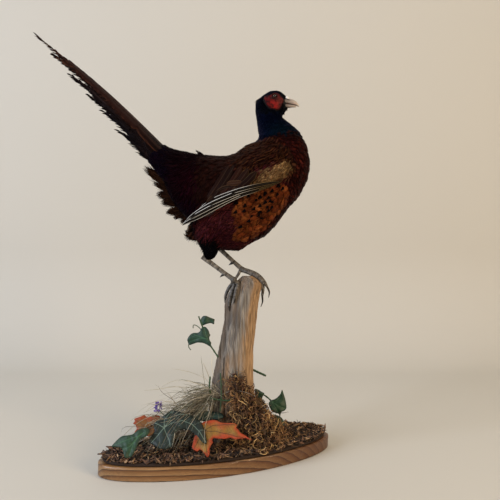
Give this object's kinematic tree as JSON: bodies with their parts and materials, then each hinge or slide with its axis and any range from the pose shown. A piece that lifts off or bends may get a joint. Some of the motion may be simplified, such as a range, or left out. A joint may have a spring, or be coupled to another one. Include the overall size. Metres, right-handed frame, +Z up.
{
  "type": "taxidermy pheasant",
  "caption": "Mounted cock pheasant standing on a driftwood post over an oval wooden slab with moss, bark and artificial leaves.",
  "frame": {"origin": "middle of the slab's flat underside", "axes": "+Z up, +X the way the bird faces, +Y the bird's left"},
  "size_m": [0.5688, 0.2214, 0.8081],
  "materials": {
    "neck_plumage": "glossy blue-black feathers with a green and violet sheen",
    "body_plumage": "maroon and chestnut feathers, each with a dark edge",
    "rump_plumage": "very dark maroon and purple feathers",
    "wing_plumage": "brown and khaki feathers with buff streaks",
    "flight_feathers": "grey-buff flight feathers with pale shafts",
    "tail_feathers": "brown barred tail feathers",
    "wattle_skin": "red skin with fine grains",
    "bill_horn": "pale polished horn",
    "eye_glass": "polished amber glass with a black pupil",
    "leg_scales": "grey dried scales",
    "spur_horn": "black horn",
    "pine_slab": "varnished pine",
    "driftwood": "bare weathered driftwood",
    "bark_mulch": "loose dark bark chips",
    "moss_fibre": "dried brown moss",
    "dry_grass": "dried grass",
    "ivy_cloth": "printed green cloth leaves",
    "maple_cloth": "printed orange and yellow cloth leaves",
    "flower_cloth": "purple cloth petals"
  },
  "bodies": {
    "root": {"head": "neck_plumage", "neck": "neck_plumage", "trunk": "body_plumage", "rump": "rump_plumage", "undertail": "rump_plumage", "bill_upper": "bill_horn", "bill_lower": "bill_horn", "eye_right": "eye_glass", "wattle_right": "wattle_skin", "wing_right": "wing_plumage", "primaries_right": "flight_feathers", "eye_left": "eye_glass", "wattle_left": "wattle_skin", "wing_left": "wing_plumage", "primaries_left": "flight_feathers", "thigh_right": "body_plumage", "thigh_left": "body_plumage", "tarsus_right": "leg_scales", "tarsus_left": "leg_scales", "spur_right": "spur_horn", "spur_left": "spur_horn", "foot_right": "leg_scales", "foot_left": "leg_scales", "tail_1_right": "tail_feathers", "tail_1_left": "tail_feathers", "tail_2_right": "tail_feathers", "tail_2_left": "tail_feathers", "tail_3_right": "tail_feathers", "tail_3_left": "tail_feathers", "tail_4_right": "tail_feathers", "tail_4_left": "tail_feathers", "tail_5_right": "tail_feathers", "tail_5_left": "tail_feathers", "tail_6_right": "tail_feathers", "tail_6_left": "tail_feathers", "base_slab": "pine_slab", "driftwood_post": "driftwood", "bark_mulch": "bark_mulch", "moss_heap": "moss_fibre", "dry_grass": "dry_grass", "flower": "flower_cloth", "ivy_twig": "ivy_cloth", "ivy_stem_right": "ivy_cloth", "cut_stem": "ivy_cloth", "ivy_leaf_large": "ivy_cloth", "ivy_leaf_low": "ivy_cloth", "ivy_leaf_twig_top": "ivy_cloth", "ivy_leaf_twig_side": "ivy_cloth", "ivy_leaf_right_top": "ivy_cloth", "ivy_leaf_right_side": "ivy_cloth", "ivy_leaf_right_low": "ivy_cloth", "maple_leaf_orange": "maple_cloth", "maple_leaf_yellow": "maple_cloth"}
  },
  "joints": []
}
